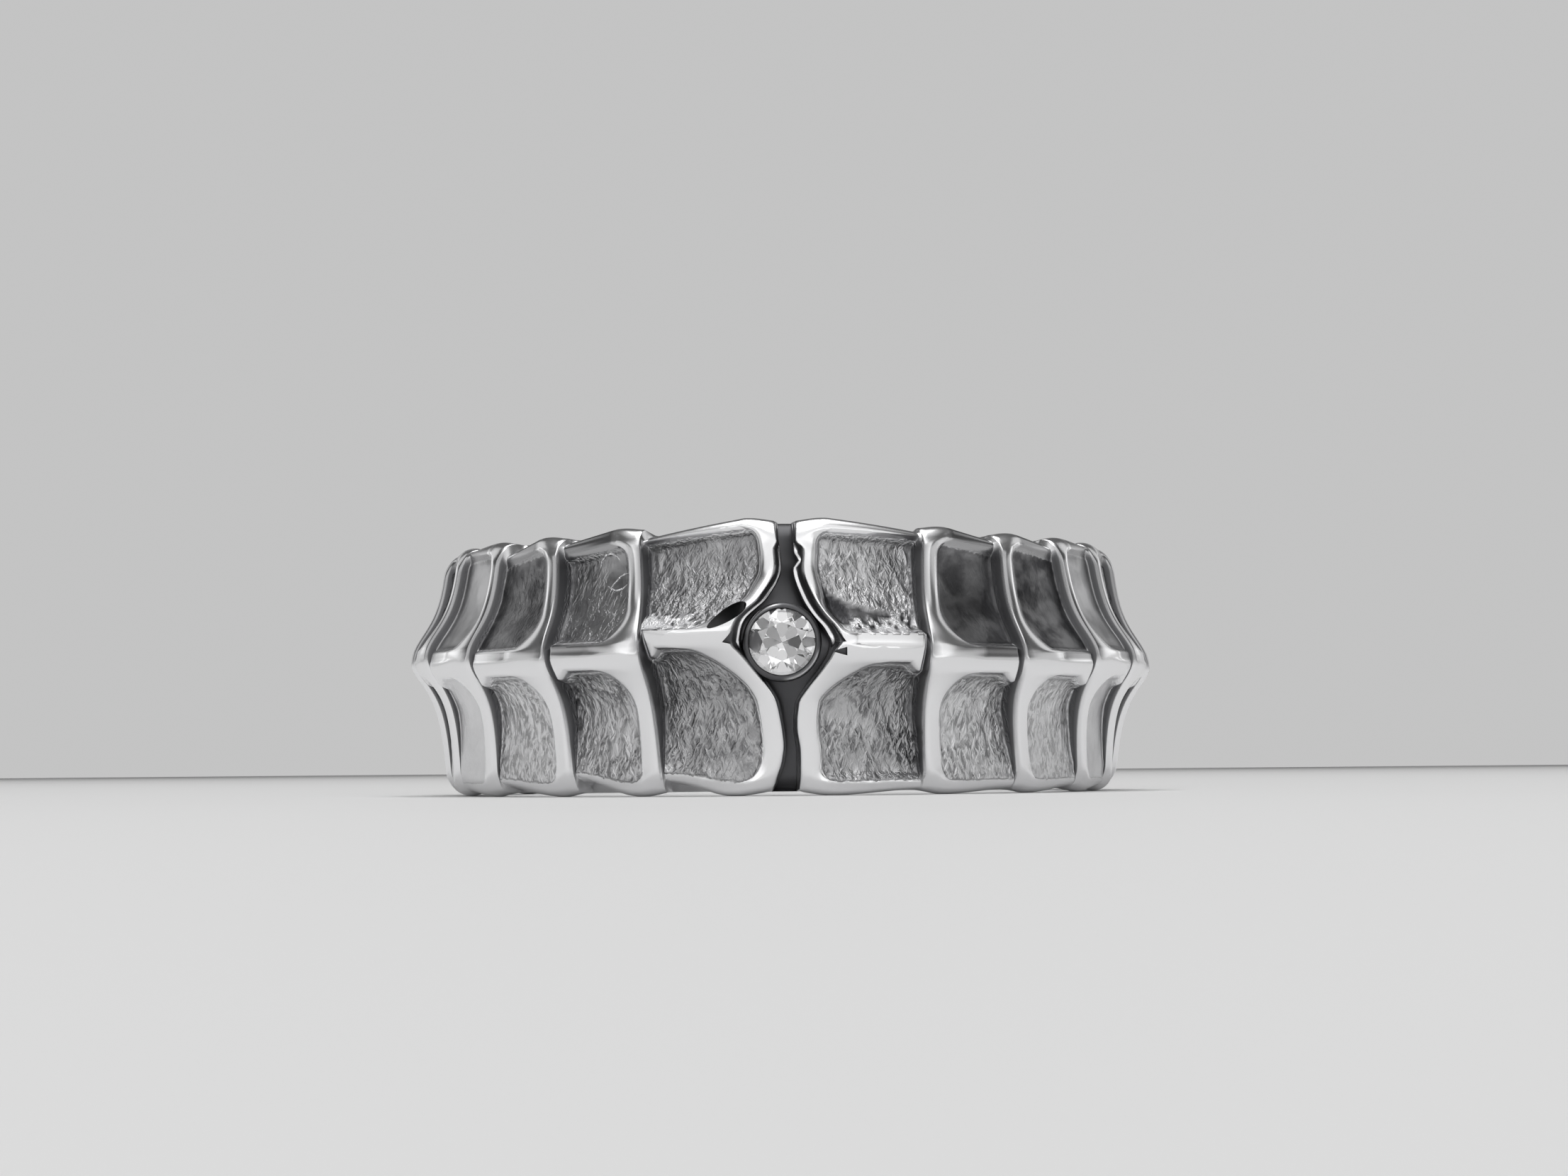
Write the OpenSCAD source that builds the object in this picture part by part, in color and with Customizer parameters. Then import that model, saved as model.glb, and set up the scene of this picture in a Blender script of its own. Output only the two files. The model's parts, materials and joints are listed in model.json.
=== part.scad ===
// Snakeskin ring: a cast band of overlapping plates with raised rims, and one round stone in front.
// Millimetres. The finger hole runs along Z, the ring rests on z = 0, and the stone faces -Y.
// Angles run round the band from the stone, so a plate's place is its angle on the left or the right.

/* [Finger hole] */
// Radius of the finger hole
bore_r = 9.1; // [8.5:0.1:10]
// Easing of the hole's two edges
bore_ease = 0.35; // [0.2:0.05:0.5]

/* [Band] */
// Height of the band in front, along the finger
band_h = 7.9; // [7.5:0.1:8.5]
// How much lower its top is at the sides and the back
side_drop = 0.28; // [0:0.02:0.3]
// How much the top face falls towards the finger hole
core_drop = 0.5; // [0.3:0.05:0.6]
// Thickness of the metal at the keel
keel_t = 2.6; // [2.4:0.1:3]
// How far the flanks fall back from the keel
flank_fall = 1; // [0.8:0.05:1.05]
// Further lean of the flanks, for each millimetre of height
flank_lean = 0.05; // [0:0.01:0.06]
// Rounding of the band's outer edges in front
edge_round = 0.5; // [0.3:0.05:0.55]
// The same at the sides and the back
side_round = 0.7; // [0.4:0.05:0.75]

/* [Plates] */
// Plates on each side of the stone
plate_count = 11; // [9:1:11]
// Angle from one plate's front edge to the next
plate_pitch = 15.4; // [15.2:0.1:15.5]
// Width of a plate's front rim below the keel
front_rim = 0.48; // [0.35:0.01:0.6]
// Width of a plate's bottom rim
bottom_rim = 0.43; // [0.35:0.01:0.5]
// Width of the keel rim below the keel line
keel_rim = 0.38; // [0.3:0.01:0.5]
// Radius of the panel's corner between the front rim and the keel rim, below the keel
corner_r = 1.2; // [0.8:0.1:1.3]
// Radius of the panel's corner between the front rim and the top or bottom rim
edge_corner_r = 0.5; // [0.2:0.1:0.8]
// Depth of a panel behind its front rim
front_depth = 0.2; // [0.15:0.05:0.3]
// How far the rims sink from the front of a plate to its rear
rim_sink = 0.25; // [0.1:0.05:0.35]
// How much a plate's front corners are eased at the band's two faces
front_ease = 0.12; // [0.05:0.01:0.15]

/* [Stone bay] */
// Depth of the bay's floor below the rims
bay_depth = 0.95; // [0.8:0.05:1]
// Width of the bay's sloping wall below the keel
bay_draft = 0.08; // [0.06:0.01:0.12]
// How much wider the wall is above the keel
bay_bevel = 0.17; // [0.05:0.01:0.2]

/* [Stone] */
// Diameter of the stone
stone_d = 1.95; // [1.8:0.05:2]
// Place of the stone along X
stone_x = 0.06; // [-0.1:0.02:0.2]
// Height of the stone's middle above the resting plane
stone_z = 4.32; // [4.2:0.02:4.4]
// Depth of the stone's girdle below the keel
girdle_in = 0.95; // [0.9:0.05:1]
// Width of the stone's table, as a share of its diameter
table_share = 0.56; // [0.5:0.01:0.62]
// Height of its crown, as a share of its diameter
crown_share = 0.155; // [0.14:0.005:0.17]
// Depth of its pavilion, as a share of its diameter
pavilion_share = 0.43; // [0.41:0.01:0.44]
// Wall of the collar round the stone
collar_t = 0.14; // [0.1:0.01:0.2]
// How far the collar stands over the girdle
collar_h = 0.17; // [0.12:0.01:0.22]
// How far the collar closes over the girdle
collar_lip = 0.04; // [0.02:0.01:0.06]
// Gap between the stone and its seat
seat_gap = 0.03; // [0.02:0.01:0.04]

/* [Pierced slot] */
// Length of the slot beside the stone
slot_l = 1.3; // [0.8:0.05:1.4]
// Width of the slot
slot_w = 0.28; // [0.2:0.02:0.3]
// Slope of the slot, rising towards the stone
slot_rise = 35; // [30:1:40]
// Angle at which it goes down on its way into the finger hole
slot_dip = 11; // [8:1:14]

/* [Hidden] */

// One row for each plate that shows from the front, from the stone outwards. The edges are in degrees
// from the stone, and the first plate's edge is the bay's own outline, so its three angles are 0.
edge_top = 0; // the columns: a front edge's angle at the top, at the keel and at the bottom,
edge_keel = 1;
edge_bottom = 2;
keel_z = 3; // the height of the keel, and the width of the keel rim above it
rim_above = 4;
left_plates = [
    [0, 0, 0, 4.6, 0.12],
    [22.9, 20.2, 18.7, 4.03, 0.26],
    [38, 35.7, 34.6, 3.95, 0.26],
    [51.5, 52.3, 53.8, 4.03, 0.3],
    [66.5, 68, 70, 4.15, 0.3],
    [82, 82.5, 85, 4.15, 0.3]
];
right_plates = [
    [0, 0, 0, 4.15, 0.38],
    [23, 21, 22.6, 3.87, 0.3],
    [37.6, 36.9, 41.3, 3.85, 0.22],
    [51.5, 53.6, 58.6, 3.93, 0.26],
    [64.7, 68, 73, 3.92, 0.3],
    [80, 83, 88, 3.85, 0.3]
];
// The other plates follow at plate_pitch, with these values
first_edge = 21;
top_lean = 3;
bottom_lean = 2.5;
plain_keel = 4.05;
plain_rim = 0.3;

// The panels of the same plates
front_above = 0; // the columns: the front rim's width above the keel, and the panel's corner radius there,
corner_above = 1;
top_front = 2; // the top rim's width in front and at the rear,
top_rear = 3;
top_fall = 4; // how much the top falls and the bottom rises towards the rear,
bottom_rise = 5;
rear_above = 6; // the depth at the rear above and below the keel,
rear_below = 7;
share_left = 8; // and the share of the depth that is left at the bottom
left_panels = [
    [0.4, 1.2, 0.32, 0.16, 0.45, 0.38, 0.85, 0.85, 0.2],
    [0.48, 1.1, 0.46, 0.4, 0.26, 0.42, 0.75, 0.85, 0.2],
    [0.48, 1.1, 0.4, 0.32, 0.42, 0.26, 0.4, 0.6, 0.25],
    [0.45, 1, 0.36, 0.3, 0.12, 0.12, 0.35, 0.4, 0.3]
];
right_panels = [
    [0.34, 0.35, 0.48, 0.2, 0.3, 0.14, 0.85, 0.85, 0.75],
    [0.5, 1.2, 0.4, 0.32, 0.24, 0.12, 0.6, 0.75, 0.5],
    [0.48, 1.1, 0.36, 0.32, 0.3, 0.14, 0.4, 0.6, 0.4],
    [0.45, 1, 0.36, 0.3, 0.12, 0.12, 0.35, 0.45, 0.4]
];
plain_panel = [0.45, 1, 0.36, 0.3, 0.15, 0.15, 0.4, 0.4, 0.5];

// Foot of the bay's wall, upwards: [height, x]. The bay is a slot that swells at the stone.
bay_left = [
    [0, -0.5], [0.3, -0.25], [0.85, 0], [1.8, 0.06], [2.7, -0.03], [3.1, -0.26], [3.5, -0.58],
    [3.9, -0.9], [4.3, -1.15], [5, -1.03], [5.6, -0.45], [6.1, -0.05], [6.6, 0.06], [7.9, 0.04]
];
bay_right = [
    [0, 0.5], [1.3, 0.51], [1.8, 0.38], [2.7, 0.42], [3.1, 0.7], [3.5, 1.03],
    [3.9, 1.3], [4.3, 1.36], [5, 0.98], [5.6, 0.64], [6.1, 0.42], [6.6, 0.3], [7.9, 0.38]
];
bay_lift = 0.1; // the bay's floor stops this far short of the band's two faces

slot_x = -1.45; // middle of the pierced slot, where it leaves the band
slot_z = 4.95;
slot_in = 0.7; // depth of that place below the keel

keel_r = bore_r + keel_t;
core_r = bore_r - 0.6; // the casting is drawn to this radius, and then bored
core_lift = 0.12; // how much the bottom face rises to there
bore_top = band_h - core_drop + 0.1; // height at which the hole's upper edge starts
mm = 180 / (PI * keel_r); // degrees for a millimetre of keel
flank_power = 2.5; // above the keel a flank starts rounder than a parabola
half_above = 1.5; // the larger, the later a flank falls: above the keel
half_below = 0.95; // and below it
side_start = 40; // the sides start at this angle from the stone
closing = 0.45; // the steps die out over this height at the band's two faces
fade_low = 0.4; // below this height a panel has its least depth
fade_high = 2.6; // and above this one its full depth
ramp = 0.12; // width of the slope from a rim down to its panel
soft = 0.1; // how far a front edge is rounded over
nub = 0.2; // length of the keel rim's rounded end
nub_sink = 0.12;
crown = 0.15; // rows this far from the keel line round its crest

function mix(a, b, f) = a + (b - a) * f;
function clip(x) = min(max(x, 0), 1);
function smooth(x) = let (t = clip(x)) t * t * (3 - 2 * t);

// Radius of the rims' envelope at a height t above the keel line
function envelope(t) =
    let (far = t > 0 ? pow(t, flank_power) : t * t, half = t > 0 ? half_above : half_below)
    keel_r - flank_fall * far / (far + half) - flank_lean * abs(t);

// How far a quarter round of radius r has fallen in, or a corner of radius r still bulges out, at a
// distance d from where it starts
function quarter(d, r) = d >= r ? 0 : r - sqrt(r * r - pow(r - max(d, 0), 2));

// 0 in front of the band, 1 from the sides on
function side_share(angle) = smooth(angle / side_start);

// Radius of the rims at height z, between the heights low and high of the band's two faces there
function rim_r(z, low, keel, high, angle) =
    let (r = mix(edge_round, side_round, side_share(angle)))
    envelope(z - keel) - quarter(z - low, r) - quarter(high - z, r);

// How open a step is: it dies out towards the band's two faces
function step_share(z, low, high) = smooth((z - low) / closing) * smooth((high - z) / closing);

// Row k of a side's table, or the regular row past its end
function plate_row(side, k) =
    let (rows = side < 0 ? left_plates : right_plates, a = first_edge + plate_pitch * (k - 1))
    k < len(rows) ? rows[k] : [a + top_lean, a, a + bottom_lean, plain_keel, plain_rim];
function panel_row(side, k) =
    let (rows = side < 0 ? left_panels : right_panels) k < len(rows) ? rows[k] : plain_panel;

// Angle of a front edge at height z: straight lines from the keel to the band's two faces
function edge_at(row, z) =
    let (keel = row[keel_z])
    z > keel ? mix(row[edge_keel], row[edge_top], (z - keel) / (band_h - keel))
    : mix(row[edge_keel], row[edge_bottom], (keel - z) / keel);

// Angle of the bay wall's foot on one side, at height z
function bay_foot(side, z, keel) =
    side * asin(lookup(z, side < 0 ? bay_left : bay_right) / (envelope(z - keel) - bay_depth));

function front_at(side, k, z, keel) =
    k > 0 ? edge_at(plate_row(side, k), z)
    : bay_foot(side, z, keel) + (bay_draft + bay_bevel * smooth((z - keel) / closing)) * mm;

// Heights of a section's rows, from the bottom face to the top face, with five in each panel
rows_n = 23;
panel_shares = [0, 0.25, 0.5, 0.75, 1];
face_shares = [0, 0.15, 0.5]; // of an edge's rounding
function row_z(i, low, keel, high, above, top_rim) =
    let (
        panel_low = [low + bottom_rim + ramp, keel - keel_rim - ramp],
        panel_high = [keel + above + ramp, high - top_rim - ramp],
        z = [
            for (s = face_shares) low + s * edge_round,
            low + bottom_rim,
            for (s = panel_shares) mix(panel_low[0], panel_low[1], s),
            keel - keel_rim, keel - crown, keel, keel + min(crown, above / 2), keel + above,
            for (s = panel_shares) mix(panel_high[0], panel_high[1], s),
            high - top_rim,
            for (s = [2, 1, 0]) high - face_shares[s] * min(edge_round, top_rim)
        ]
    )
    z[i];
function is_panel(i) = (i > 3 && i < 9) || (i > 13 && i < 19);
function is_keel(i) = i > 8 && i < 14;

// Columns of a plate, from its front edge to its rear, and about how far along it each one lies
cols_n = 8;
along = [0, 0.04, 0.25, 0.3, 0.5, 0.75, 0.95, 1];
panel_col = 3; // the first column at a panel's depth
nub_col = 6; // the column where the keel rim's rounded end begins

// Distance of column c from the front edge, in millimetres, on a row of the given length. The columns
// between the panel's two ends are spread as in the list above.
function col_a(c, length, rim) =
    let (
        last = length - nub,
        foot = min(rim + ramp, last - 0.3),
        f = (along[c] - along[panel_col]) / (along[nub_col] - along[panel_col])
    )
    c < 2 ? c * soft : c < panel_col ? foot - ramp : c > nub_col ? length - soft : mix(foot, last, f);

function ring_point(angle, r, z) = [r * sin(angle), -r * cos(angle), z];

// Point of plate k: column c, row i
function plate_point(side, k, c, i) =
    let (
        row = plate_row(side, k),
        panel = panel_row(side, k),
        keel = row[keel_z],
        above = row[rim_above],
        g = along[c],
        behind_rim = clip((g - along[2]) / (1 - along[2])),
        turn = row[edge_keel] + plate_pitch * g,
        eased = c > 1 ? 0 : front_ease * (1 - smooth(c * soft / closing)),
        low = panel[bottom_rise] * smooth(behind_rim) + eased,
        high = band_h - panel[top_fall] * behind_rim - eased - side_drop * side_share(turn),
        top_rim = mix(panel[top_front], panel[top_rear], g),
        z = row_z(i, low, keel, high, above, top_rim),
        over = z > keel,
        front = front_at(side, k, z, keel),
        length = (edge_at(plate_row(side, k + 1), z) - front) / mm,
        from_keel = over ? z - keel - above : keel - keel_rim - z,
        from_edge = over ? high - top_rim - z : z - low - bottom_rim,
        rim = (over ? panel[front_above] : front_rim) + quarter(from_edge, edge_corner_r)
            + quarter(from_keel, over ? panel[corner_above] : corner_r),
        a = col_a(c, length, rim),
        opened = step_share(z, low, high),
        share = mix(panel[share_left], 1, clip((z - fade_low) / (fade_high - fade_low))),
        sunk = is_keel(i) ? nub_sink * (c >= nub_col ? c - nub_col + 1 : g) : rim_sink * g * share * opened,
        rims_in = c == 0 ? soft * opened : sunk,
        rear = (over ? panel[rear_above] : panel[rear_below]) * share,
        in = c >= panel_col && is_panel(i) ? mix(front_depth, rear, g) : rims_in
    )
    ring_point(side * (front + a * mm), rim_r(z, low, keel, high, turn) - in, z);

// Point of the bay's floor: f runs from 0 at its left foot to 1 at its right
function bay_point(f, i) =
    let (
        keel = mix(left_plates[0][keel_z], right_plates[0][keel_z], f),
        above = mix(left_plates[0][rim_above], right_plates[0][rim_above], f),
        top_rim = mix(left_panels[0][top_front], right_panels[0][top_front], f),
        low = bay_lift,
        high = band_h - bay_lift,
        z = row_z(i, low, keel, high, above, top_rim),
        angle = mix(-bay_foot(-1, z, keel), bay_foot(1, z, keel), f)
    )
    ring_point(angle, rim_r(z, low, keel, high, 0) - bay_depth, z);

// Point of the plain bar at the back: column 0 is its edge, column 1 its face
function bar_point(side, c, i) =
    let (
        row = plate_row(side, plate_count),
        high = band_h - side_drop,
        z = row_z(i, 0, row[keel_z], high, row[rim_above], plain_panel[top_front]),
        in = c == 0 ? soft * step_share(z, 0, high) : 0,
        r = rim_r(z, 0, row[keel_z], high, side_start)
    )
    ring_point(side * (edge_at(row, z) + c * soft * mm), r - in, z);

// Every column of the casting, round from the back on the left to the back on the right
bay_steps = 4;
columns = concat(
    [for (c = [1, 0]) [for (i = [0 : rows_n - 1]) bar_point(-1, c, i)]],
    [for (k = [plate_count - 1 : -1 : 0], c = [cols_n - 1 : -1 : 0])
        [for (i = [0 : rows_n - 1]) plate_point(-1, k, c, i)]],
    [for (s = [0 : bay_steps]) [for (i = [0 : rows_n - 1]) bay_point(s / bay_steps, i)]],
    [for (k = [0 : plate_count - 1], c = [0 : cols_n - 1])
        [for (i = [0 : rows_n - 1]) plate_point(1, k, c, i)]],
    [for (c = [0, 1]) [for (i = [0 : rows_n - 1]) bar_point(1, c, i)]]
);

// A column's closed outline: its outer rows, and a corner inside the bore at each face of the band.
// The corners lie at one height all round, so the plates' steps die out towards the finger hole.
function core_point(p, z) =
    let (r = norm([p[0], p[1]])) [p[0] * core_r / r, p[1] * core_r / r, z];
function loop_points(column) =
    let (first = column[0], last = column[rows_n - 1])
    concat([core_point(first, core_lift)], column, [core_point(last, band_h - core_drop)]);

module casting() {
    loop_n = rows_n + 2;
    turn_n = len(columns);
    points = [for (column = columns) each loop_points(column)];
    at = function(j, i) (j % turn_n) * loop_n + i % loop_n;
    faces = [
        for (j = [0 : turn_n - 1], i = [0 : loop_n - 1]) each [
            [at(j, i), at(j, i + 1), at(j + 1, i + 1)],
            [at(j, i), at(j + 1, i + 1), at(j + 1, i)]
        ]
    ];
    polyhedron(points, faces, convexity = 8);
}

// Moves what is drawn along +Z at the origin to the stone's place, facing out of the bay
module at_stone() {
    translate([stone_x, -(keel_r - girdle_in), stone_z]) rotate([90, 0, 0]) children();
}

stone_r = stone_d / 2;
table_r = stone_r * table_share;
crown_h = crown_share * stone_d;
pavilion_h = pavilion_share * stone_d;
girdle_h = 0.03 * stone_d;

// The finger hole. Each end has an eased edge, and over the upper one a slope follows the falling face.
module bore_cut() {
    ease_n = 6;
    r = bore_ease;
    low = [for (s = [0 : ease_n]) let (a = 90 * s / ease_n)
        [bore_r + r - r * sin(a), r - r * cos(a)]];
    high = [for (s = [ease_n : -1 : 0]) [low[s][0], bore_top - low[s][1]]];
    wide = bore_r + r;
    rotate_extrude($fn = 120)
        polygon(concat([[0, -1], [wide, -1]], low, high, [[wide + 1, bore_top + 1], [0, bore_top + 1]]));
}

// Room for the stone: a cone under its pavilion, a ring at its girdle, and an opening a little smaller
module seat_cut() {
    tip_r = 0.06;
    wall = stone_r + seat_gap;
    lip = stone_r - collar_lip;
    deep = pavilion_h + 2 * seat_gap;
    half = girdle_h / 2;
    rotate_extrude($fn = 48)
        polygon([
            [0, -deep], [tip_r, -deep], [wall, -half - seat_gap], [wall, half + seat_gap],
            [lip, half + seat_gap + collar_lip], [lip, 2], [0, 2]
        ]);
}

module collar() {
    foot = 0.5; // how far it reaches into the bay's floor
    translate([0, 0, -foot]) cylinder(h = foot + collar_h, r = stone_r + collar_t, $fn = 48);
}

// The pierced slot: a straight way with round ends, from outside the band into the finger hole
module slot_cut() {
    half = (slot_l - slot_w) / 2;
    outside = 2;
    depth = outside + keel_t + 1.5;
    translate([slot_x, -(keel_r - slot_in), slot_z])
        rotate([-slot_dip, 0, 0]) rotate([0, -slot_rise, 0]) translate([0, -outside, 0]) {
            translate([-half, 0, -slot_w / 2]) cube([2 * half, depth, slot_w]);
            for (x = [-half, half])
                translate([x, 0, 0]) rotate([-90, 0, 0]) cylinder(h = depth, d = slot_w, $fn = 24);
        }
}

module band() {
    color("silver")
        difference() {
            union() {
                casting();
                at_stone() collar();
            }
            bore_cut();
            at_stone() seat_cut();
            slot_cut();
        }
}

// Round brilliant cut, table towards +Z. Each ring of points is given by radius, height and count.
function ring(r, z, n, turn = 0) =
    [for (s = [0 : n - 1]) let (a = 360 * (s + turn) / n) [r * cos(a), r * sin(a), z]];

module stone() {
    star_share = 0.55; // how far the stars reach from the table to the girdle
    low_share = 0.4; // radius at which the pavilion's facets meet, as a share of the girdle's
    g = girdle_h / 2;
    half = cos(22.5);
    star_r = mix(table_r, stone_r, star_share);
    star_z = g + crown_h * (stone_r - star_r * half) / (stone_r - table_r);
    low_r = low_share * stone_r;
    low_z = -g - pavilion_h * (1 - low_share * half);
    points = concat(
        ring(table_r, g + crown_h, 8), // 0 to 7, the table
        ring(star_r, star_z, 8, 0.5), // 8 to 15, where stars and kites meet
        ring(stone_r, g, 16), // 16 to 31, the girdle's upper edge
        ring(stone_r, -g, 16), // 32 to 47, its lower edge
        ring(low_r, low_z, 8, 0.5), // 48 to 55, where the pavilion's facets meet
        [[0, 0, -g - pavilion_h]] // 56, the culet
    );
    t = function(s) s % 8;
    m = function(s) 8 + (s + 8) % 8;
    u = function(s) 16 + (s + 16) % 16;
    l = function(s) 32 + (s + 16) % 16;
    p = function(s) 48 + (s + 8) % 8;
    faces = concat(
        [[for (s = [7 : -1 : 0]) s]],
        [for (s = [0 : 7]) each [
            [t(s), t(s + 1), m(s)],
            [t(s), m(s), u(2 * s), m(s - 1)],
            [m(s), u(2 * s + 1), u(2 * s)],
            [m(s), u(2 * s + 2), u(2 * s + 1)],
            [p(s), l(2 * s), l(2 * s + 1)],
            [p(s), l(2 * s + 1), l(2 * s + 2)],
            [56, p(s - 1), l(2 * s), p(s)]
        ]],
        [for (s = [0 : 15]) [u(s), u(s + 1), l(s + 1), l(s)]]
    );
    color("azure")
        at_stone() polyhedron(points, faces, convexity = 2);
}

band();
stone();
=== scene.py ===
import json
import math
import bmesh
import bpy
import numpy as np
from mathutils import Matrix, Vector


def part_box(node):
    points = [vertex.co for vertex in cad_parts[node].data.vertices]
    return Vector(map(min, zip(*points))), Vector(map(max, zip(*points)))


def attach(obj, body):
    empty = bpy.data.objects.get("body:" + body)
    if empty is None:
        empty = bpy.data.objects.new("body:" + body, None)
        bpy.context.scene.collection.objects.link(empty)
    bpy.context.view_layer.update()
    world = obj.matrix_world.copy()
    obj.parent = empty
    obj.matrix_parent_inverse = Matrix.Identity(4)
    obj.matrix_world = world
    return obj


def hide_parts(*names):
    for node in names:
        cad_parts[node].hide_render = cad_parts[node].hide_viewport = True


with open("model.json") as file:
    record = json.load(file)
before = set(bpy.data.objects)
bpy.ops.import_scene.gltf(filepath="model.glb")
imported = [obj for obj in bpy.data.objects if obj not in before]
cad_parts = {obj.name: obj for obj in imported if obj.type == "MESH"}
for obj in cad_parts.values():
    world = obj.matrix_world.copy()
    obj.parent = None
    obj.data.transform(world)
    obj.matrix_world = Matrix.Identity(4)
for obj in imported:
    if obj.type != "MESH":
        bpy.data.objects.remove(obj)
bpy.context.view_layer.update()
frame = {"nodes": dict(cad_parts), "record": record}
print("frame loaded:", sorted(frame["nodes"]))

# Shapes are worked out in millimetres, the stone towards -Y, and put into the meshes in metres
mm = 0.001
left, right = -1, 1

# Parts of a brilliant, as shares of its diameter
cutShares = {"girdle": 0.03, "crown": 0.155, "pavilion": 0.43, "table": 0.56}


# The finger hole comes from its mount, the rest from the boxes of the two pieces
def sizesFromFrame():
    bore = next(m for m in frame["record"]["mounts"] if m["name"] == "finger_bore")
    bandLow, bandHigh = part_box("band")
    stoneLow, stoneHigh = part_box("stone")
    middle = (stoneLow + stoneHigh) / 2 / mm
    across = (stoneHigh.x - stoneLow.x) / mm
    s = {
        "boreR": bore["dims"]["r_mm"],
        "bandH": (bandHigh.z - bandLow.z) / mm,
        "keelR": bandHigh.y / mm,
        "stoneX": middle.x,
        "stoneZ": middle.z,
        "stoneR": across / 2,
        "girdleH": cutShares["girdle"] * across,
        "crownH": cutShares["crown"] * across,
        "pavilionH": cutShares["pavilion"] * across,
    }
    s["girdleR"] = -stoneLow.y / mm - s["crownH"] - s["girdleH"] / 2
    return s


sizes = sizesFromFrame()
mmDeg = 180 / (math.pi * sizes["keelR"])  # degrees for a millimetre of keel
print("sizes:", {k: round(v, 3) for k, v in sizes.items()})


def mix(a, b, f):
    return a + (b - a) * f


# An S-curve from 0 to 1: three x squared less two x cubed
def smooth(x):
    x = np.clip(x, 0, 1)
    return x * x * (3 - 2 * x)


# The same curve from a start on, over a length
def risen(x, span):
    start, length = span
    return smooth((x - start) / length)


# The band: one casting of overlapping plates

bandSettings = {
    "plates": 11,  # on each side of the stone
    "firstEdge": 21.0,  # degrees to the first step, if all plates were plain
    "pitch": 15.4,  # degrees from one front edge to the next
    "lean": (3.0, 2.5),  # degrees that a plain edge leans back at the top and at the bottom
    "plainKeel": 4.05,  # keel height of the plain plates
    "plainRim": 0.3,  # their keel rim above the keel line
    "keelBend": 0.2,  # how softly the front edges bend at the keel
    "keelFade": 0.3,  # height over which values change at the keel
    "flankFall": 1.0,  # how far the flanks fall back
    "flankLean": 0.05,  # and how much more for each millimetre from the keel
    "halfAbove": 1.5,  # the larger, the rounder a flank at the keel: above it
    "halfBelow": 0.95,  # and below it
    "edgeRound": (0.5, 0.7),  # rounding of the band's outer edges in front, and from the sides on
    "sideDrop": 0.28,  # how much lower the band's top is there
    "sideStart": 40.0,  # degrees from the stone
    "rowCrowding": 1.6,  # the larger, the closer the rows are in those roundings
    "frontRim": 0.48,
    "bottomRim": 0.4,  # bottom rim in front
    "bottomRear": 0.22,  # and at a plate's rear
    "keelRim": 0.41,  # keel rim below the keel line
    "keelSwell": 0.24,  # and how much wider it is at its rear
    "swellSpan": (0.72, 0.22),  # a span is a start and a length: here shares of a plate's length
    "cornerR": 1.2,  # panel corner between the front rim and the keel rim, below it
    "edgeCornerR": 0.5,  # and between the front rim and the top or bottom rim
    "depth": (0.15, 0.24),  # panel depth behind the front rim, below and above the keel
    "deepSpan": (0.4, 2.2),  # heights over which a panel deepens from the bottom up
    "rimSink": 0.25,  # how far the rims sink from a plate's front to its rear
    "frontEase": (0.12, 0.45),  # how much its front corners are eased at the faces, and over which length
    "closing": 0.45,  # the steps die out over this height at the two faces
    "ramp": 0.2,  # slope from a rim down to its panel
    "edgeRamp": 0.32,  # the same from the bottom and the top rim
    "soft": 0.14,  # rounding of the front edge over its step, below the keel
    "softAbove": 0.06,  # and above it
    "edgeStain": (0.65, 0.26),  # painted shade (a dark reflection) on that edge above the keel: how dark, and how far back
    "keelStain": {left: 0.15, right: 0.6},  # how dark the painted shade (a dark reflection) on the keel rim is above the keel line
    "topStain": 0.6,  # and the top rim
    "stainFade": (0.2, 0.08),  # they start over these lengths, behind the front rim and above the keel line
    "crown": (0.03, 0.075),  # swelling of the front rim, below and above the keel
    "nub": 0.22,  # rounded end of the keel rim
    "nubSink": 0.14,
    "bayDepth": 0.95,
    "bayDraft": 0.06,  # slant of the bay's wall below the keel
    "bayBevel": {left: 0.15, right: 0.25},  # and this much more above it
    "bevelSpan": (6.95, 0.25),  # where that dies out
    "notch": 0.15,  # depth of a small notch in the bay's right wall
    "notchZ": (6.68, 0.22),  # its middle and half its height
    "outlineSoft": 0.1,  # how far up and down the bay's outline is averaged
    "bayRim": 0.58,  # front rim beside the bay, below the keel
    "lowRim": {left: 0.6, right: 0.4},  # share of that rim's width above the keel that is left low down
    "lowRimSpan": (5.1, 0.9),  # where it widens to the whole
    "ledgeSpan": {left: (3.85, 0.5), right: (3.95, 0.5)},  # where the bay's bright ledge starts
    "bayLift": 0.1,  # gap between the bay's floor and the two faces
    "bayTop": 0.4,  # upper zone of its rows
    "coreLift": 0.12,  # how far the bottom face rises towards the finger hole
    "coreDrop": 0.4,  # and how much the top face falls
    "boreEase": 0.35,
    "barkDepth": 0.045,  # of the panels' bark
    "sharpAngle": 50,  # degrees from which an edge is sharp
}

# One row for each plate that the front view shows, from the stone outwards: (degrees to its edge at the
# top, at the keel and at the bottom, keel height, rim above keel)
plateRows = {
    left: [
        (0, 0, 0, 4.6, 0.06),
        (22.9, 20.2, 18.7, 4.03, 0.26),
        (38.8, 36, 35, 3.95, 0.26),
        (52.5, 52.8, 54.3, 4.03, 0.3),
        (67, 68.5, 70.5, 4.15, 0.3),
        (82, 82.5, 85, 4.15, 0.3),
    ],
    right: [
        (0, 0, 0, 4.15, 0.38),
        (23.6, 21.7, 23.3, 3.87, 0.3),
        (38.2, 37.6, 42, 3.85, 0.22),
        (52, 54.3, 59.3, 3.93, 0.26),
        (65.2, 68.6, 73.6, 3.92, 0.3),
        (80, 83, 88, 3.85, 0.3),
    ],
}

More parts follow.
